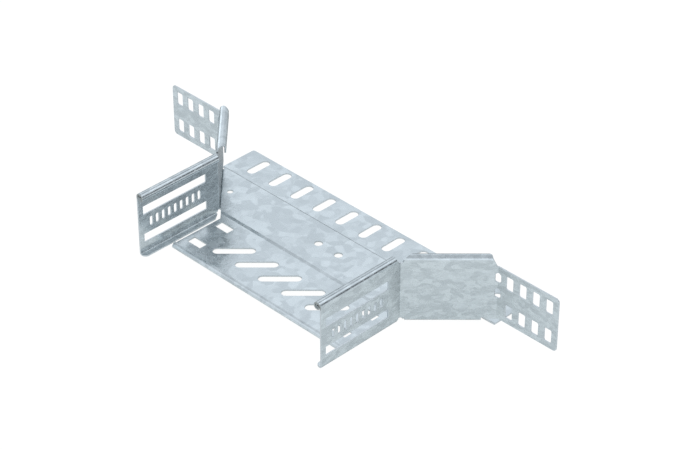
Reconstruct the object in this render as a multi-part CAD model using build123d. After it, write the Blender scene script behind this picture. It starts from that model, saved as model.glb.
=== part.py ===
from build123d import *
import os
from math import cos, radians, sin, sqrt, tan

os.makedirs("parts", exist_ok=True)

# Add-on cable tray tee in folded galvanised sheet.
# Three sheet parts: a stepped base plate and two handed side walls.
# X runs along the main tray, -Y points out along the branch, Z is up.
# Origin: middle of the tee, on the faces that seat on the main tray's
# side wall (Y = 0) and on the main tray's floor (Z = 0).

# Sheet and bends
sheet = 1.25
inner_radius = 0.75
outer_radius = inner_radius + sheet

# Branch walls
half_width = 97.8
wall_front_y = -130.2
corner_y = -50.55
roll_radius = 3.6
roll_centre_z = 57.2
flange_width = 6.2
flange_corner_radius = 3.8
flange_mitre_length = 7.2
wall_relief = 2.5
wing_relief = 3.2
relief_radius = 1.6
corner_notch_radius = 2.0

# Wing at 45 degrees and tab
wing_angle = 45.0
tab_bottom_z = 6.8
tab_top_z = 52.5
tab_end_margin = 8.39
tab_corner_radius = 3.0
wing_roll_drop = 4.6
wing_flange_width = 5.0
riser_clearance = 1.5

# Tab holes
tab_hole_width = 6.7
tab_hole_height = 11.5
tab_first_x = 158.32
tab_pitch = 12.43
tab_columns = 4
tab_hole_radius = 1.2
tab_row_z = (17.2, 42.3)
bend_hole_width = 4.7
bend_hole_shift = 0.45
bend_hole_height = 8.5
bend_hole_z = (29.3, 42.8)

# Wall slots
long_slot_start_y = -125.6
long_slot_end_y = -62.8
long_slot_height = 7.5
long_slot_z = (17.55, 42.35)
comb_count = 9
comb_first_y = -118.1
comb_pitch = 6.01
comb_width = 2.9
comb_height = 8.2
comb_z = 30.1

# Base plate levels, as undersides
strip_level = 0.0
middle_level = 5.28
tongue_level = middle_level - sheet

# Base plate outline
strip_end_margin = 8.7
strip_back_y = 32.5
strip_corner_radius = 2.0
tongue_gap = 2.4
lip_ear = 1.3
tongue_step_y = -48.9
step_run = 1.9
lip_start_y = -101.2
lip_radius = 3.5
riser_top_y = -6.4
riser_foot_y = -1.9
edge_inset = 2.2

# Base plate holes
strip_slot_count = 11
strip_slot_pitch = 25.0
strip_slot_length = 22.3
strip_slot_width = 7.8
strip_slot_y = 17.84
tongue_slot_count = 5
tongue_slot_pitch = 25.0
tongue_slot_length = 32.8
tongue_slot_width = 7.4
tongue_slot_y = -77.56
window_length = 14.0
window_width = 7.6
window_x = 77.8
window_y = (-61.9, -90.0)
fixing_y = -26.9
fixing_inner_x = 10.7
fixing_inner_diameter = 6.6
fixing_outer_x = 109.7
fixing_outer_diameter = 5.0

# Derived positions
tab_end_x = tab_first_x + tab_pitch * (tab_columns - 1) + tab_end_margin
strip_half_length = strip_slot_pitch * strip_slot_count / 2 + strip_end_margin
tongue_half_width = half_width - flange_width - tongue_gap
lip_half_width = tongue_half_width + lip_ear
tongue_corner_y = corner_y - flange_width - tongue_gap + edge_inset * sqrt(2)
tab_face_y = -sheet
tab_bend_x = half_width + (tab_face_y - corner_y) * tan(radians(wing_angle))
bend_start_z = tongue_level + outer_radius
roll_top_z = roll_centre_z + roll_radius
wing_length = (tab_face_y - corner_y) / cos(radians(wing_angle))
lip_front_y = lip_start_y - lip_radius
wall_length = corner_y - wall_front_y
wing_fold_end = wing_length - 11.0
wing_notch = wing_length - 9.6
top_cut_start = wing_length - 4.6
top_cut_end = wing_length - 0.5
roll_inner_end = wing_length - 8.5
wall_roll_stop = 3.0
wing_fold_start = 2.4
wing_roll_middle = 6.8
wing_roll_start = 9.8
roll_gap = 0.06
roll_half_turns = 4
roll_inner_setback = 0.5
far = 400.0


# Helpers
def mitred_sheet(points, thickness):
    """Corners of a sheet whose right-hand face follows the points."""
    normals = []
    for (ax, ay), (bx, by) in zip(points[:-1], points[1:]):
        run = sqrt((bx - ax) ** 2 + (by - ay) ** 2)
        normals.append(((ay - by) / run, (bx - ax) / run))
    offset_points = []
    for index, (px, py) in enumerate(points):
        n1 = normals[max(index - 1, 0)]
        n2 = normals[min(index, len(normals) - 1)]
        scale = thickness / (1.0 + n1[0] * n2[0] + n1[1] * n2[1])
        offset_points.append((px + (n1[0] + n2[0]) * scale, py + (n1[1] + n2[1]) * scale))
    return list(points), offset_points


def outline(points):
    """Planar face from a closed list of corners."""
    return make_face(Polyline(*points, close=True))


def rounded(face, corners, radius):
    """Round the face's corners that lie nearest to the given points."""
    picked = []
    for x, y in corners:
        picked.append(min(face.vertices(), key=lambda v: (v.X - x) ** 2 + (v.Y - y) ** 2))
    return fillet(picked, radius)


def ring_part(centre, radius, thickness, start, end):
    """Part of a ring between two angles, measured from local X."""
    cx, cy = centre
    inner = radius - thickness
    edges = [
        CenterArc(centre, radius, start, end - start),
        CenterArc(centre, inner, start, end - start),
    ]
    for angle in (start, end):
        c = cos(radians(angle))
        s = sin(radians(angle))
        edges.append(Line((cx + inner * c, cy + inner * s), (cx + radius * c, cy + radius * s)))
    return make_face(Curve() + edges)


def run_plane(origin, heading, start=0.0):
    """Plane across a wall: local X points inward, local Y points up."""
    c = cos(radians(heading))
    s = sin(radians(heading))
    base = (origin[0] + c * start, origin[1] + s * start, 0)
    return Plane(origin=base, x_dir=(-s, c, 0), z_dir=(c, s, 0))


def face_plane(origin, heading):
    """Plane on a wall's outer face: local X runs along it, local Y up."""
    c = cos(radians(heading))
    s = sin(radians(heading))
    return Plane(origin=(origin[0], origin[1], 0), x_dir=(c, s, 0), z_dir=(s, -c, 0))


def through(sketch, reach=far):
    """Cutter that passes right through a sheet."""
    return extrude(sketch, reach, both=True)


# Side wall, right hand
def fold_profile(width):
    """Bottom bend and inward flange."""
    centre = (outer_radius, bend_start_z)
    bend = ring_part(centre, outer_radius, sheet, 180, 270)
    low = tongue_level
    flat = outline([
        (outer_radius, low),
        (width, low),
        (width, low + sheet),
        (outer_radius, low + sheet),
    ])
    return bend + flat


def closed_roll():
    """Top edge rolled inward and on into itself, in half turns that get smaller.

    The inner turn is a little shorter than the outer one at both ends.
    """
    layer = sheet + roll_gap
    outer_turn = Sketch()
    inner_turn = Sketch()
    for turn in range(roll_half_turns):
        radius = roll_radius - turn * layer / 2
        middle = (turn + 1) // 2 * layer + radius
        start = 180 * (turn % 2)
        half = ring_part((middle, roll_centre_z), radius, sheet, start, start + 180)
        if turn < 2:
            outer_turn += half
        else:
            inner_turn += half
    foot = (half_width, corner_y)
    length = wall_length - wall_roll_stop
    outer_face = run_plane(foot, 90, -wall_length) * outer_turn
    inner_face = run_plane(foot, 90, roll_inner_setback - wall_length) * inner_turn
    return extrude(outer_face, length) + extrude(inner_face, length - 2 * roll_inner_setback)


def open_roll_profile():
    """Top edge turned over inward, with a short lip hanging down."""
    centre = (roll_radius, roll_centre_z)
    arch = ring_part(centre, roll_radius, sheet, 0, 180)
    lip_outer = 2 * roll_radius
    lip_inner = lip_outer - sheet
    lip = outline([
        (lip_inner, roll_centre_z - wing_roll_drop),
        (lip_outer, roll_centre_z - wing_roll_drop),
        (lip_outer, roll_centre_z),
        (lip_inner, roll_centre_z),
    ])
    return arch + lip


def side_web():
    """Upright sheet: branch wall, 45 degree wing and tab."""
    points = [
        (half_width, wall_front_y),
        (half_width, corner_y),
        (tab_bend_x, tab_face_y),
        (tab_end_x, tab_face_y),
    ]
    near, back = mitred_sheet(points, sheet)
    plan = outline(near + back[::-1])
    plan = rounded(plan, near[1:3], inner_radius)
    plan = rounded(plan, back[1:3], outer_radius)
    return extrude(Plane.XY.offset(bend_start_z) * plan, roll_centre_z - bend_start_z)


def top_cut():
    """Clears the web above the tab, along the sloping end of the wing."""
    wing = face_plane((half_width, corner_y), wing_angle)
    slope = (top_cut_end - top_cut_start) / (roll_top_z - tab_top_z)
    rise = 10.0
    cutter = outline([
        (top_cut_start - rise * slope, roll_top_z + rise),
        (top_cut_end, tab_top_z),
        (far, tab_top_z),
        (far, roll_top_z + rise),
    ])
    return through(wing * cutter)


def roll_end_cut():
    """Carries the sloping end round the inner half of the wing's roll."""
    plan = Plane(
        origin=(half_width, corner_y, tab_top_z - 2 * wing_roll_drop),
        x_dir=(cos(radians(wing_angle)), sin(radians(wing_angle)), 0),
        z_dir=(0, 0, 1),
    )
    cutter = outline([
        (top_cut_start, roll_radius),
        (roll_inner_end, 2 * roll_radius + 1),
        (far, 2 * roll_radius + 1),
        (far, roll_radius),
    ])
    return extrude(plan * cutter, 4 * wing_roll_drop)


def tab_trim():
    """Squares the tab's lower edge and rounds its two free corners."""
    tab = face_plane((0, tab_face_y), 0)
    middle = ((tab_bend_x + tab_end_x) / 2, (tab_bottom_z + tab_top_z) / 2)
    width = tab_end_x - tab_bend_x
    height = tab_top_z - tab_bottom_z
    blank = Pos(*middle) * Rectangle(width + 20, height + 20)
    shape = Pos(*middle) * Rectangle(width, height)
    ends = [(tab_end_x, tab_bottom_z), (tab_end_x, tab_top_z)]
    shape = rounded(shape, ends, tab_corner_radius)
    keep = Pos(tab_bend_x, middle[1]) * Rectangle(20, height + 20, align=(Align.MAX, Align.CENTER))
    return through(tab * (blank - shape - keep), 5.0)


def side_holes():
    """All holes of one side wall."""
    wall = face_plane((half_width, corner_y), 90)
    tab = face_plane((0, tab_face_y), 0)
    bend = face_plane((tab_bend_x, tab_face_y), wing_angle / 2)
    slot_length = long_slot_end_y - long_slot_start_y
    slot_middle = (long_slot_start_y + long_slot_end_y) / 2 - corner_y
    wall_cut = Sketch()
    for z in long_slot_z:
        wall_cut += Pos(slot_middle, z) * Rectangle(slot_length, long_slot_height)
    for index in range(comb_count):
        along = comb_first_y + comb_pitch * index - corner_y
        wall_cut += Pos(along, comb_z) * Rot(0, 0, 90) * SlotOverall(comb_height, comb_width)
    tab_cut = Sketch()
    for column in range(tab_columns):
        for z in tab_row_z:
            hole = RectangleRounded(tab_hole_width, tab_hole_height, tab_hole_radius)
            tab_cut += Pos(tab_first_x + tab_pitch * column, z) * hole
    bend_cut = Sketch()
    for z in bend_hole_z:
        bend_cut += Pos(bend_hole_shift, z) * Rot(0, 0, 90) * SlotOverall(bend_hole_height, bend_hole_width)
    cutters = [through(wall * wall_cut, 5.0), through(tab * tab_cut, 5.0)]
    cutters.append(through(bend * bend_cut, 5.0))
    return cutters


def side_reliefs():
    """Small round reliefs where the bends stop at the upright folds."""
    corner = face_plane((half_width, corner_y), 90 - wing_angle / 2)
    wing = face_plane((half_width, corner_y), wing_angle)
    corner_cut = Pos(0, bend_start_z) * Circle(relief_radius)
    corner_cut += Pos(0, roll_centre_z) * Circle(corner_notch_radius)
    wing_cut = Pos(wing_notch, bend_start_z) * Circle(relief_radius)
    return [through(corner * corner_cut, 4.0), through(wing * wing_cut, 4.0)]


def flange_corner_cut():
    """Rounds the free front corner of the wall's bottom flange."""
    x = half_width - flange_width
    y = wall_front_y
    r = flange_corner_radius
    square = Pos(x, y) * Rectangle(r, r, align=(Align.MIN, Align.MIN))
    corner = square - Pos(x + r, y + r) * Circle(r)
    return extrude(Plane.XY.offset(tongue_level - 1) * corner, sheet + 2)


def flange_mitre_cut():
    """Slopes the rear end of the wall's bottom flange clear of the corner."""
    edge = half_width - flange_width
    rear = corner_y - wall_relief
    corner = outline([
        (half_width - outer_radius, rear),
        (edge - 1, rear - flange_mitre_length),
        (edge - 1, rear + 1),
        (half_width - outer_radius, rear + 1),
    ])
    return extrude(Plane.XY.offset(tongue_level - 1) * corner, sheet + 2)


def wing_flange_cut():
    """Squares the rear end of the wing's bottom flange, clear of the riser."""
    rear = riser_top_y - riser_clearance
    corner = outline([
        (half_width, rear),
        (tab_bend_x, rear),
        (tab_bend_x, tab_face_y),
        (half_width, tab_face_y),
    ])
    return extrude(Plane.XY.offset(tongue_level - 1) * corner, sheet + 1)


def wing_roll():
    """Turned-over top of the wing, its near end sloping round the arch."""
    foot = (half_width, corner_y)
    arch = run_plane(foot, wing_angle, wing_fold_start) * open_roll_profile()
    solid = extrude(arch, wing_length - wing_fold_start)
    plan = Plane(
        origin=(foot[0], foot[1], roll_centre_z - 2 * wing_roll_drop),
        x_dir=(cos(radians(wing_angle)), sin(radians(wing_angle)), 0),
        z_dir=(0, 0, 1),
    )
    cutter = outline([
        (wing_fold_start, 0),
        (wing_roll_middle, roll_radius),
        (wing_roll_start, 2 * roll_radius - sheet),
        (wing_roll_start, 2 * roll_radius + 1),
        (0, 2 * roll_radius + 1),
        (0, 0),
    ])
    return solid - extrude(plan * cutter, 4 * wing_roll_drop)


def side_wall():
    """Right-hand side wall in one folded sheet."""
    foot = (half_width, corner_y)
    solid = side_web()
    wall_fold = run_plane(foot, 90, -wall_length) * fold_profile(flange_width)
    solid += extrude(wall_fold, wall_length - wall_relief)
    wing_fold = run_plane(foot, wing_angle, wing_relief) * fold_profile(wing_flange_width)
    solid += extrude(wing_fold, wing_fold_end - wing_relief)
    solid += closed_roll()
    solid += wing_roll()
    solid -= top_cut()
    solid -= roll_end_cut()
    solid -= tab_trim()
    for cutter in side_holes() + side_reliefs():
        solid -= cutter
    solid -= flange_corner_cut()
    solid -= flange_mitre_cut()
    solid -= wing_flange_cut()
    return solid


# Base plate
def base_section():
    """Stepped section of the base plate, drawn as Y and Z."""
    points = [
        (lip_start_y, tongue_level),
        (tongue_step_y - step_run, tongue_level),
        (tongue_step_y, middle_level),
        (riser_top_y, middle_level),
        (riser_foot_y, strip_level),
        (strip_back_y, strip_level),
    ]
    near, back = mitred_sheet(points, sheet)
    face = outline(near + back[::-1])
    face = rounded(face, [near[3], back[4]], inner_radius)
    face = rounded(face, [back[3], near[4]], outer_radius)
    lip_centre = (lip_start_y, tongue_level + sheet - lip_radius)
    return face + ring_part(lip_centre, lip_radius, sheet, 90, 180)


def plate_edge(y):
    """Half width of the raised floor, just inside the wing."""
    return half_width + (y - corner_y) - edge_inset * sqrt(2)


def base_outline():
    """Plan outline of the base plate."""
    right = [
        (lip_half_width, lip_front_y - 1),
        (lip_half_width, lip_start_y),
        (tongue_half_width, lip_start_y),
        (tongue_half_width, tongue_corner_y),
        (plate_edge(riser_foot_y), riser_foot_y),
        (strip_half_length, riser_foot_y),
        (strip_half_length, strip_back_y),
    ]
    left = [(-x, y) for x, y in right[::-1]]
    shape = outline(right + left)
    backs = [(strip_half_length, strip_back_y), (-strip_half_length, strip_back_y)]
    return rounded(shape, backs, strip_corner_radius)


def base_holes():
    """All holes of the base plate."""
    holes = Sketch()
    for index in range(strip_slot_count):
        x = (index - (strip_slot_count - 1) / 2) * strip_slot_pitch
        slot = SlotOverall(strip_slot_length, strip_slot_width)
        holes += Pos(x, strip_slot_y) * Rot(0, 0, 90) * slot
    for index in range(tongue_slot_count):
        x = (index - (tongue_slot_count - 1) / 2) * tongue_slot_pitch
        slot = SlotOverall(tongue_slot_length, tongue_slot_width)
        holes += Pos(x, tongue_slot_y) * Rot(0, 0, wing_angle) * slot
    for side in (-1, 1):
        for y in window_y:
            holes += Pos(side * window_x, y) * Rectangle(window_length, window_width)
        holes += Pos(side * fixing_inner_x, fixing_y) * Circle(fixing_inner_diameter / 2)
        holes += Pos(side * fixing_outer_x, fixing_y) * Circle(fixing_outer_diameter / 2)
    return holes


def base_plate():
    """Stepped base plate in one folded sheet."""
    solid = extrude(Plane.YZ * base_section(), strip_half_length, both=True)
    solid &= through(base_outline(), 50.0)
    solid -= through(base_holes(), 50.0)
    return solid


# Build and save
right_side = side_wall()
left_side = mirror(right_side, about=Plane.YZ)
plate = base_plate()

parts = {
    "base_plate": plate,
    "left_side_wall": left_side,
    "right_side_wall": right_side,
}
for name, shape in parts.items():
    solids = shape.solids()
    whole = solids[0] if len(solids) == 1 else Compound(children=list(solids))
    whole.label = name
    export_step(whole, f"parts/{name}.step")
    box = shape.bounding_box()
    print(name, len(solids), round(shape.volume), box.min, box.max)
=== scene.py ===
"""Looks of a folded galvanised cable tray tee: three sheets, their zinc finish and a plain studio.

X runs along the main tray, -Y out along the branch, Z is up; everything is in metres.
"""

import logging
from dataclasses import dataclass, field
from enum import Enum
from math import inf, radians
from typing import Sequence

import bmesh
import bpy
import numpy as np
from mathutils import Matrix, Vector
from mathutils.bvhtree import BVHTree

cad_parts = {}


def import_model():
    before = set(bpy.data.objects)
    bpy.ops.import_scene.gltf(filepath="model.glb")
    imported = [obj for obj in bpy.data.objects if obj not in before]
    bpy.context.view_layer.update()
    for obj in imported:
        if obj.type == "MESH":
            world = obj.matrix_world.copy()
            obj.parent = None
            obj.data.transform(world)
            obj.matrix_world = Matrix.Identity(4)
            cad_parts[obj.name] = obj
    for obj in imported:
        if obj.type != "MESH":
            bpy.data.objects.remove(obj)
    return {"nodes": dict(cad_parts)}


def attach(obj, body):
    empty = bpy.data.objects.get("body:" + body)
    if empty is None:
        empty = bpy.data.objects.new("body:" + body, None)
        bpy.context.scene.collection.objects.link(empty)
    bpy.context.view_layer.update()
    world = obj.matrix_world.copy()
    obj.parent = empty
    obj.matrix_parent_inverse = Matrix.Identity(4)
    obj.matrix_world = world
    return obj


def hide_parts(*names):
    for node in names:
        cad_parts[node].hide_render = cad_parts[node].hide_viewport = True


log = logging.getLogger("tray_tee")

Rgb = tuple[float, float, float]
Point = tuple[float, float, float]
Span = tuple[float, float]

ZINC_SLOT = "galvanised_sheet"
CUT_EDGE = "cut_edge"


class Sheet(Enum):
    """The three sheets of the tee, by the name of their solid."""

    BASE_PLATE = "base_plate"
    LEFT_WALL = "left_side_wall"
    RIGHT_WALL = "right_side_wall"


# Finishes
class NodeBench:
    """A short way to place and join the nodes of one material or world."""

    def __init__(self, tree: bpy.types.NodeTree) -> None:
        """Empties the tree and keeps it.

        Args:
            tree: Node tree of a material or world.
        """
        tree.nodes.clear()
        self.tree = tree

    def add(self, kind: str, **settings: object) -> bpy.types.Node:
        """Adds one node and sets its plain properties.

        Args:
            kind: Blender's type name of the node.
            settings: Properties of the node by name.

        Returns:
            The new node.
        """
        node = self.tree.nodes.new(kind)
        for name, value in settings.items():
            setattr(node, name, value)
        return node

    def join(self, source: bpy.types.NodeSocket, target: bpy.types.NodeSocket) -> None:
        """Links an output to an input."""
        self.tree.links.new(source, target)

    def math(self, operation: str, first: object, second: object = None) -> bpy.types.NodeSocket:
        """Adds a maths node whose inputs are sockets or numbers.

        Args:
            operation: Name of the operation, such as "ADD".
            first: First socket or number.
            second: Second socket or number, if there is one.

        Returns:
            The result's socket.
        """
        node = self.add("ShaderNodeMath", operation=operation)
        for slot, value in zip(node.inputs, (first, second)):
            if isinstance(value, bpy.types.NodeSocket):
                self.join(value, slot)
            elif value is not None:
                slot.default_value = float(value)
        return node.outputs[0]

    def square(self, value: bpy.types.NodeSocket) -> bpy.types.NodeSocket:
        """Multiplies a value by itself."""
        return self.math("MULTIPLY", value, value)

    def spread(self, value: bpy.types.NodeSocket, source: Span, target: Span,
               smooth: bool = False) -> bpy.types.NodeSocket:
        """Maps a span of values onto another span; values outside it keep the ends' results.

        Args:
            value: Socket with the incoming value.
            source: Values that give the two ends of target.
            target: Results at the ends of source.
            smooth: Eases the ends of the span.

        Returns:
            The result's socket.
        """
        node = self.add("ShaderNodeMapRange", clamp=True)
        if smooth:
            node.interpolation_type = "SMOOTHSTEP"
        self.join(value, node.inputs["Value"])
        node.inputs["From Min"].default_value, node.inputs["From Max"].default_value = source
        node.inputs["To Min"].default_value, node.inputs["To Max"].default_value = target
        return node.outputs["Result"]

    def blend(self, share: bpy.types.NodeSocket, first: object,
              second: object) -> bpy.types.NodeSocket:
        """Mixes two colours by a share from 0 to 1.

        Args:
            share: Socket with the share of the second colour.
            first: Socket or colour at 0.
            second: Socket or colour at 1.

        Returns:
            The mixed colour's socket.
        """
        node = self.add("ShaderNodeMix", data_type="RGBA")
        self.join(share, node.inputs["Factor"])
        for slot, value in ((node.inputs["A"], first), (node.inputs["B"], second)):
            if isinstance(value, bpy.types.NodeSocket):
                self.join(value, slot)
            else:
                slot.default_value = (*value, 1.0)
        return node.outputs["Result"]

    def choose(self, share: bpy.types.NodeSocket, first: bpy.types.NodeSocket,
               second: bpy.types.NodeSocket) -> bpy.types.NodeSocket:
        """Mixes two shaders by a share from 0 to 1.

        Args:
            share: Socket with the share of the second shader.
            first: Shader at 0.
            second: Shader at 1.

        Returns:
            The mixed shader's socket.
        """
        node = self.add("ShaderNodeMixShader")
        for slot, value in zip(node.inputs, (share, first, second)):
            self.join(value, slot)
        return node.outputs["Shader"]


@dataclass(frozen=True)
class GalvanisedFinish:
    """Hot-dip zinc on rolled steel: soft spangle, faint clouds, cut edges of bare zinc lightened
    as painted highlight, roll ends darkened as painted shade.

    Fields that end in per_m count what lies in a metre. The three shares add up to one.
    """

    name: str = ZINC_SLOT
    dull: Rgb = (0.655, 0.708, 0.728)
    bright: Rgb = (0.82, 0.88, 0.90)
    # cut faces: bare sheared zinc, made lighter than the sheet as a painted highlight for the
    # bright ground they mirror
    cut_edge: Rgb = (0.76, 0.80, 0.82)
    # painted shade: dark colour for the end faces of the closed rolls, standing in for the shade
    # inside a hollow roll
    roll_end_painted_shade: Rgb = (0.44, 0.465, 0.46)
    grazing_tint: Rgb = (0.45, 0.45, 0.45)
    roll_axis_x: float = 0.0942
    roll_axis_z: float = 0.0572
    roll_radius: float = 0.0036
    flake_per_m: float = 150.0
    crystal_per_m: float = 330.0
    border_softness: float = 0.35
    cloud_per_m: float = 22.0
    cloud_detail: float = 3.0
    grain_per_m: float = 1400.0
    grain_detail: float = 2.0
    warp_per_m: float = 70.0
    warp_detail: float = 2.0
    warp_reach: float = 0.011
    drawn_out: float = 1.9
    flake_share: float = 0.5
    crystal_share: float = 0.28
    cloud_share: float = 0.22
    tone_span: Span = (0.22, 0.78)
    crystal_span: Span = (0.15, 0.85)
    roughness: Span = (0.22, 0.32)
    edge_roughness: float = 0.36
    flake_relief: float = 0.65
    grain_relief: float = 0.2
    bump_height: float = 0.00002

    def cells(self, bench: NodeBench, place: bpy.types.NodeSocket,
              per_m: float) -> bpy.types.NodeSocket:
        """Random level for each crystal of a Voronoi pattern with softened borders.

        Args:
            bench: Node bench of the material.
            place: Socket with the position to read.
            per_m: Crystals in a metre.

        Returns:
            Socket with a level from 0 to 1.
        """
        cell = bench.add("ShaderNodeTexVoronoi", feature="SMOOTH_F1")
        cell.inputs["Scale"].default_value = per_m
        cell.inputs["Smoothness"].default_value = self.border_softness
        bench.join(place, cell.inputs["Vector"])
        split = bench.add("ShaderNodeSeparateColor")
        bench.join(cell.outputs["Color"], split.inputs["Color"])
        return split.outputs["Red"]

    def noise(self, bench: NodeBench, place: bpy.types.NodeSocket, per_m: float,
              detail: float) -> bpy.types.Node:
        """Soft noise: one level between 0 and 1 in its "Fac", three in its "Color".

        Args:
            bench: Node bench of the material.
            place: Socket with the position to read.
            per_m: Waves in a metre.
            detail: Octaves of finer noise.

        Returns:
            The noise node.
        """
        wave = bench.add("ShaderNodeTexNoise")
        wave.inputs["Scale"].default_value = per_m
        wave.inputs["Detail"].default_value = detail
        bench.join(place, wave.inputs["Vector"])
        return wave

    def crystal_place(self, bench: NodeBench,
                      place: bpy.types.NodeSocket) -> bpy.types.NodeSocket:
        """Position at which the crystals are read, so that they are uneven and lie flat.

        It is the position times (1, 1, drawn out), plus warp_reach times a soft noise. The
        stretched Z makes the crystals on upright sheets longer than they are high.

        Args:
            bench: Node bench of the material.
            place: Socket with the position on the object.

        Returns:
            Socket with the shifted position.
        """
        drawn = bench.add("ShaderNodeVectorMath", operation="MULTIPLY")
        bench.join(place, drawn.inputs[0])
        drawn.inputs[1].default_value = (1.0, 1.0, self.drawn_out)
        warp = self.noise(bench, place, self.warp_per_m, self.warp_detail)
        shift = bench.add("ShaderNodeVectorMath", operation="MULTIPLY_ADD")
        bench.join(warp.outputs["Color"], shift.inputs[0])
        shift.inputs[1].default_value = (self.warp_reach,) * 3
        bench.join(drawn.outputs["Vector"], shift.inputs[2])
        return shift.outputs["Vector"]

    def roll_end_shade_area(self, bench: NodeBench, place: bpy.types.NodeSocket) -> bpy.types.NodeSocket:
        """Finds the round end of the closed roll on either side wall, where shade is painted.

        A point counts when (|x| - axis x)^2 + (z - axis z)^2 is below the roll's radius squared.

        Args:
            bench: Node bench of the material.
            place: Socket with the position to read.

        Returns:
            Socket that is 1 inside the roll's circle.
        """
        split = bench.add("ShaderNodeSeparateXYZ")
        bench.join(place, split.inputs["Vector"])
        side = bench.math("ABSOLUTE", split.outputs["X"])
        across = bench.square(bench.math("SUBTRACT", side, self.roll_axis_x))
        up = bench.square(bench.math("SUBTRACT", split.outputs["Z"], self.roll_axis_z))
        return bench.math("LESS_THAN", bench.math("ADD", across, up), self.roll_radius ** 2)

    def build(self) -> bpy.types.Material:
        """Makes the material.

        The tone is a weighted sum of two crystal sizes and a slow cloud, and drives the zinc's
        colour. The small crystals drive the roughness, and the large ones with a fine grain
        drive a very shallow relief.

        Returns:
            The finished material.
        """
        material = bpy.data.materials.new(self.name)
        material.use_nodes = True
        bench = NodeBench(material.node_tree)
        place = bench.add("ShaderNodeTexCoord").outputs["Object"]
        bent = self.crystal_place(bench, place)
        flakes = self.cells(bench, bent, self.flake_per_m)
        crystals = self.cells(bench, bent, self.crystal_per_m)
        cloud = self.noise(bench, place, self.cloud_per_m, self.cloud_detail).outputs["Fac"]
        grain = self.noise(bench, place, self.grain_per_m, self.grain_detail).outputs["Fac"]

        tone = bench.math("ADD", bench.math("MULTIPLY", flakes, self.flake_share),
                          bench.math("MULTIPLY", crystals, self.crystal_share))
        tone = bench.math("ADD", tone, bench.math("MULTIPLY", cloud, self.cloud_share))
        level = bench.spread(tone, self.tone_span, (0.0, 1.0), smooth=True)
        zinc = bench.blend(level, self.dull, self.bright)

        # cut faces take the cut-edge colour: bare zinc, lightened as a painted highlight
        edge = bench.add("ShaderNodeAttribute", attribute_name=CUT_EDGE).outputs["Fac"]
        # painted shade: cut faces inside the roll's circle turn dark, for the shade inside a
        # hollow roll end
        roll = bench.math("MULTIPLY", edge, self.roll_end_shade_area(bench, place))
        colour = bench.blend(roll, bench.blend(edge, zinc, self.cut_edge), self.roll_end_painted_shade)

        rough = bench.spread(crystals, self.crystal_span, self.roughness)
        more = bench.math("MULTIPLY", edge, self.edge_roughness - self.roughness[1])
        rough = bench.math("ADD", rough, more)

        relief = bench.math("ADD", bench.math("MULTIPLY", flakes, self.flake_relief),
                            bench.math("MULTIPLY", grain, self.grain_relief))
        bump = bench.add("ShaderNodeBump")
        bump.inputs["Strength"].default_value = 1.0
        bump.inputs["Distance"].default_value = self.bump_height
        bench.join(relief, bump.inputs["Height"])

        metal = bench.add("ShaderNodeBsdfPrincipled")
        metal.inputs["Metallic"].default_value = 1.0
        metal.inputs["Specular Tint"].default_value = (*self.grazing_tint, 1.0)
        bench.join(colour, metal.inputs["Base Color"])
        bench.join(rough, metal.inputs["Roughness"])
        bench.join(bump.outputs["Normal"], metal.inputs["Normal"])
        output = bench.add("ShaderNodeOutputMaterial")
        bench.join(metal.outputs["BSDF"], output.inputs["Surface"])
        return material


@dataclass(frozen=True)
class PaleFloorFinish:
    """Pale ground: white with a faint shadow to the camera, a mid grey in the zinc's mirror."""

    name: str = "pale_floor"
    paint: Rgb = (0.8, 0.8, 0.8)
    seen_paint: Rgb = (0.16, 0.16, 0.16)
    seen_glow: Rgb = (0.94, 0.94, 0.94)
    mirrored_paint: Rgb = (0.60, 0.60, 0.60)
    mirrored_glow: Rgb = (0.345, 0.365, 0.365)

    def build(self) -> bpy.types.Material:
        """Makes the floor's material.

        Camera, glossy and transmission rays meet a dim paint with its own glow, and all
        other rays meet a plain pale paint.

        Returns:
            The finished material.
        """
        material = bpy.data.materials.new(self.name)
        material.use_nodes = True
        bench = NodeBench(material.node_tree)
        path = bench.add("ShaderNodeLightPath")
        mirrored = path.outputs["Is Glossy Ray"]
        seen = bench.math("MAXIMUM", path.outputs["Is Camera Ray"], mirrored)
        seen = bench.math("MAXIMUM", seen, path.outputs["Is Transmission Ray"])
        plain = bench.add("ShaderNodeBsdfDiffuse")
        plain.inputs["Color"].default_value = (*self.paint, 1.0)
        shown = bench.add("ShaderNodeBsdfDiffuse")
        bench.join(bench.blend(mirrored, self.seen_paint, self.mirrored_paint),
                   shown.inputs["Color"])
        glow = bench.add("ShaderNodeEmission")
        bench.join(bench.blend(mirrored, self.seen_glow, self.mirrored_glow),
                   glow.inputs["Color"])
        lit = bench.add("ShaderNodeAddShader")
        bench.join(shown.outputs["BSDF"], lit.inputs[0])
        bench.join(glow.outputs["Emission"], lit.inputs[1])
        output = bench.add("ShaderNodeOutputMaterial")
        bench.join(bench.choose(seen, plain.outputs["BSDF"], lit.outputs["Shader"]),
                   output.inputs["Surface"])
        return material


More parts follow.
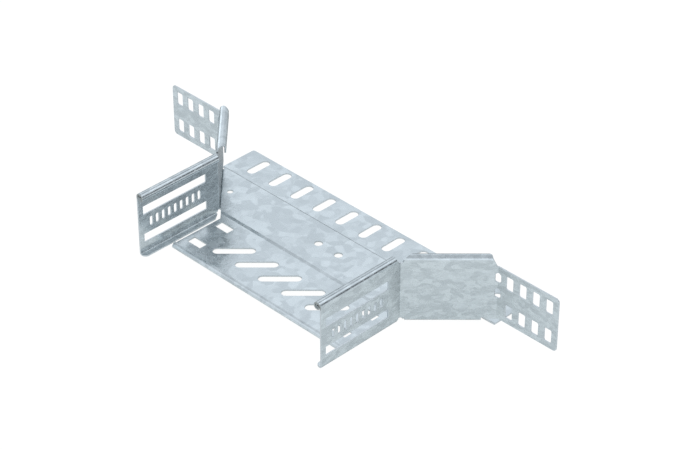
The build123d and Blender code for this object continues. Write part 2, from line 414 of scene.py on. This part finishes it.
# Sheets
@dataclass
class DressedSheet:
    """One folded sheet: the solid's shape with softened cut edges and smooth bends.

    Two kinds of edge are told apart by angle: from crease_from_angle an edge is a crease, and
    from round_from_angle it is one that gets rounded.
    """

    sheet: Sheet
    node: bpy.types.Object
    thickness: float = 0.00125
    thickness_slack: float = 0.25
    weld_grid: float = 1e-6
    flat_angle: float = radians(0.6)
    edge_round: float = 0.00018
    edge_segments: int = 2
    edge_room: float = 0.5
    round_from_angle: float = radians(55)
    crease_from_angle: float = radians(22)
    plain_face_corners: int = 4
    border_inset: float = 0.0002
    ray_start: float = 1e-5
    ray_reach: float = 0.02

    def welded(self) -> bpy.types.Mesh:
        """Joins the solid's loose triangles into one closed mesh.

        Corners are rounded to a fine grid, equal ones become one vertex, and triangles that
        lose a corner are left out.

        Returns:
            A new mesh.
        """
        source = self.node.data
        corners = np.empty(len(source.vertices) * 3, np.float64)
        source.vertices.foreach_get("co", corners)
        corners = corners.reshape(-1, 3)
        source.calc_loop_triangles()
        picks = np.empty(len(source.loop_triangles) * 3, np.int32)
        source.loop_triangles.foreach_get("vertices", picks)
        grid = np.round(corners / self.weld_grid).astype(np.int64)
        _, first, back = np.unique(grid, axis=0, return_index=True, return_inverse=True)
        triangles = back.reshape(-1)[picks].reshape(-1, 3)
        whole = (triangles != np.roll(triangles, -1, axis=1)).all(axis=1)
        mesh = bpy.data.meshes.new(f"{self.sheet.value}_dressed")
        mesh.from_pydata(corners[first].tolist(), [], triangles[whole].tolist())
        mesh.update()
        return mesh

    def flatten(self, mesh: bpy.types.Mesh) -> None:
        """Merges triangles that lie in one plane and sorts the edges that are left.

        A crease is marked sharp, and the smaller of its two faces is shaded flat, so that small
        steps stay crisp. An edge to be rounded gets the rounding weight 1, unless a corner
        leaves it no room.

        Args:
            mesh: The welded mesh, changed in place.
        """
        mesh.shade_smooth()
        work = bmesh.new()
        work.from_mesh(mesh)
        bmesh.ops.dissolve_limit(work, angle_limit=self.flat_angle, verts=work.verts,
                                 edges=work.edges, delimit={"NORMAL"})
        rounding = work.edges.layers.float.new("bevel_weight_edge")
        for edge in work.edges:
            angle = edge.calc_face_angle(0.0)
            if self.crease_from_angle < angle < self.round_from_angle:
                edge.smooth = False
                min(edge.link_faces, key=lambda face: face.calc_area()).smooth = False
            edge[rounding] = float(angle >= self.round_from_angle and not self.pinched(edge))
        work.to_mesh(mesh)
        work.free()

    def pinched(self, edge: bmesh.types.BMEdge) -> bool:
        """Tells whether a corner leaves no room to round an edge.

        The rounding's border slides along the blunt edges that meet it at a corner, by its width
        over the sine of the angle between them. Where that is more than edge_room of such an
        edge's length, the rounding would stick out of the sheet.

        Args:
            edge: An edge from round_from_angle up.

        Returns:
            True where the edge is better left sharp.
        """
        for corner in edge.verts:
            along = (edge.other_vert(corner).co - corner.co).normalized()
            for other in corner.link_edges:
                if other is edge or other.calc_face_angle(0.0) >= self.round_from_angle:
                    continue
                reach = other.other_vert(corner).co - corner.co
                if self.edge_round > self.edge_room * reach.cross(along).length:
                    return True
        return False

    def mark_cut_edges(self, mesh: bpy.types.Mesh) -> None:
        """Marks the faces made by shearing and punching.

        A rolled face has its other side one thickness behind it; a cut face doesn't.

        Args:
            mesh: The flattened mesh; it gets the marks as an attribute on its faces.
        """
        work = bmesh.new()
        work.from_mesh(mesh)
        tree = BVHTree.FromBMesh(work)
        work.faces.ensure_lookup_table()
        marks = np.zeros(len(work.faces), np.float32)
        for index, face in enumerate(work.faces):
            start = self.inner_point(face)
            behind, _, _, _ = tree.ray_cast(start - face.normal * self.ray_start, -face.normal,
                                            self.ray_reach)
            depth = (behind - start).length if behind is not None else inf
            marks[index] = abs(depth - self.thickness) > self.thickness_slack * self.thickness
        work.free()
        attribute = mesh.attributes.new(CUT_EDGE, "FLOAT", "FACE")
        attribute.data.foreach_set("value", marks)

    def inner_point(self, face: bmesh.types.BMFace) -> Vector:
        """A point well inside a face.

        It is the middle of a plain face. A face with more corners may have notches, so there it
        lies border_inset inside the middle of the longest border.

        Args:
            face: The face.

        Returns:
            The point.
        """
        if len(face.verts) <= self.plain_face_corners:
            return face.calc_center_median_weighted()
        loop = max(face.loops, key=lambda item: item.edge.calc_length())
        here, there = loop.vert.co, loop.link_loop_next.vert.co
        inward = face.normal.cross((there - here).normalized())
        return (here + there) / 2 + inward * self.border_inset

    def build(self, finish: bpy.types.Material) -> bpy.types.Object:
        """Makes the dressed sheet and lets it stand for its solid.

        Args:
            finish: Material of the whole sheet.

        Returns:
            The new piece.
        """
        mesh = self.welded()
        self.flatten(mesh)
        self.mark_cut_edges(mesh)
        mesh.materials.append(finish)
        piece = bpy.data.objects.new(f"{self.sheet.value}_sheet", mesh)
        bpy.context.scene.collection.objects.link(piece)
        soft = piece.modifiers.new("softened_edges", "BEVEL")
        soft.width = self.edge_round
        soft.segments = self.edge_segments
        soft.limit_method = "WEIGHT"
        soft.use_clamp_overlap = False
        even = piece.modifiers.new("even_faces", "WEIGHTED_NORMAL")
        even.keep_sharp = True
        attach(piece, "root")
        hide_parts(self.sheet.value)
        return piece


@dataclass
class TrayTee:
    """The whole fitting: base plate and two handed side walls."""

    nodes: dict[str, bpy.types.Object]
    finish: GalvanisedFinish = field(default_factory=GalvanisedFinish)

    def build(self) -> list[bpy.types.Object]:
        """Dresses every sheet.

        Returns:
            The three pieces.
        """
        zinc = self.finish.build()
        return [DressedSheet(sheet, self.nodes[sheet.value]).build(zinc) for sheet in Sheet]


# Studio
@dataclass(frozen=True)
class LightPatch:
    """One soft patch of the surrounding light: a softbox above 1, a dark flag below 1.

    outer and inner are cosines of the angles at which the patch starts and is full.
    """

    direction: Point
    outer: float
    inner: float
    gain: float


@dataclass
class Studio:
    """Pale floor, soft surrounding light and the camera."""

    camera_place: Point = (1.015081, -1.021740, 1.020774)
    camera_aim: Point = (-0.017631, 0.013812, 0.0)
    camera_roll: float = radians(0.116)
    camera_lens_mm: float = 118.865
    camera_sensor_mm: float = 36.0
    camera_clip_end: float = 20.0
    floor_half: float = 4.0
    floor_level: float = -0.0002
    backdrop: Rgb = (1.0, 1.0, 1.0)
    backdrop_level: float = 1.0
    world_tint: Rgb = (0.88, 0.935, 1.0)
    world_level: float = 0.77
    patches: tuple[LightPatch, ...] = (
        # overhead
        LightPatch((0.0, 0.0, 1.0), 0.82, 0.95, 0.79),
        # behind on the left, mirrored by the level sheets
        LightPatch((-0.59, 0.58, 0.56), 0.935, 0.985, 1.27),
        # behind: a dark and a light streak along the closed rolls
        LightPatch((-0.24, 0.58, 0.78), 0.965, 0.995, 0.55),
        LightPatch((0.21, 0.58, 0.79), 0.955, 0.992, 1.55),
        # in front on the right, for the light line along the right wing's open roll
        LightPatch((0.68, -0.68, 0.25), 0.90, 0.975, 1.36),
        # behind on the right: the dark band along the closed rolls
        LightPatch((0.72, 0.57, 0.36), 0.955, 0.985, 0.1),
        # low behind on the left
        LightPatch((-0.62, 0.78, 0.10), 0.93, 0.985, 0.6),
        # in front on the left
        LightPatch((-0.58, -0.55, 0.59), 0.93, 0.985, 1.2),
        # low on the left: the streak along the left wing's open roll
        LightPatch((-0.96, 0.24, 0.16), 0.945, 0.985, 2.1),
        # right and left, mirrored by the step beside the tongue
        LightPatch((0.62, -0.22, 0.75), 0.965, 0.99, 0.3),
        LightPatch((-0.58, -0.24, 0.78), 0.96, 0.99, 0.82),
    )

    def floor(self) -> None:
        """Makes the ground: one square sheet on a grid of two by two points."""
        side = np.array([-self.floor_half, self.floor_half])
        x, y = np.meshgrid(side, side)
        points = np.stack([x.ravel(), y.ravel(), np.full(x.size, self.floor_level)], axis=1)
        mesh = bpy.data.meshes.new("ground")
        mesh.from_pydata(points.tolist(), [], [(0, 1, 3, 2)])
        mesh.materials.append(PaleFloorFinish().build())
        ground = bpy.data.objects.new("ground", mesh)
        bpy.context.scene.collection.objects.link(ground)

    def toward(self, bench: NodeBench, direction: Point) -> bpy.types.NodeSocket:
        """Cosine between the looked-up direction and a given one.

        Args:
            bench: Node bench of the world.
            direction: The given direction.

        Returns:
            Socket with the cosine.
        """
        look = bench.add("ShaderNodeTexCoord").outputs["Generated"]
        dot = bench.add("ShaderNodeVectorMath", operation="DOT_PRODUCT")
        bench.join(look, dot.inputs[0])
        dot.inputs[1].default_value = Vector(direction).normalized()
        return dot.outputs["Value"]

    def surround(self) -> None:
        """Makes the surrounding light: a faint blue white with soft patches.

        Its strength is world_level times the gains of all patches. The camera sees a plain
        white backdrop instead.
        """
        world = bpy.data.worlds.new("soft_studio")
        world.use_nodes = True
        bench = NodeBench(world.node_tree)
        level: object = self.world_level
        for patch in self.patches:
            gain = bench.spread(self.toward(bench, patch.direction), (patch.outer, patch.inner),
                                (1.0, patch.gain), smooth=True)
            level = bench.math("MULTIPLY", level, gain)
        light = bench.add("ShaderNodeBackground")
        light.inputs["Color"].default_value = (*self.world_tint, 1.0)
        bench.join(level, light.inputs["Strength"])
        shown = bench.add("ShaderNodeBackground")
        shown.inputs["Color"].default_value = (*self.backdrop, 1.0)
        shown.inputs["Strength"].default_value = self.backdrop_level
        seen = bench.add("ShaderNodeLightPath").outputs["Is Camera Ray"]
        output = bench.add("ShaderNodeOutputWorld")
        bench.join(bench.choose(seen, light.outputs["Background"], shown.outputs["Background"]),
                   output.inputs["Surface"])
        bpy.context.scene.world = world

    def camera(self) -> None:
        """Makes the camera: it looks from its place to its aim, rolled by a small angle."""
        data = bpy.data.cameras.new("camera")
        data.sensor_fit = "HORIZONTAL"
        data.sensor_width = self.camera_sensor_mm
        data.lens = self.camera_lens_mm
        data.clip_end = self.camera_clip_end
        camera = bpy.data.objects.new("camera", data)
        look = Vector(self.camera_aim) - Vector(self.camera_place)
        turn = look.to_track_quat("-Z", "Y").to_matrix().to_4x4()
        camera.matrix_world = (Matrix.Translation(Vector(self.camera_place)) @ turn
                               @ Matrix.Rotation(self.camera_roll, 4, "Z"))
        bpy.context.scene.collection.objects.link(camera)
        bpy.context.scene.camera = camera

    def build(self) -> None:
        """Makes the floor, the light and the camera."""
        self.floor()
        self.surround()
        self.camera()
        bpy.context.scene.view_settings.view_transform = "Standard"


def main(frame: dict) -> None:
    """Builds the fitting and its studio.

    Args:
        frame: The loaded frame.
    """
    logging.basicConfig(level=logging.INFO, format="%(name)s: %(message)s")
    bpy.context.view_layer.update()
    for piece in TrayTee(frame["nodes"]).build():
        log.info("%s: %d faces before rounding", piece.name, len(piece.data.polygons))
    Studio().build()


if __name__ == "__main__":
    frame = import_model()
    main(frame)
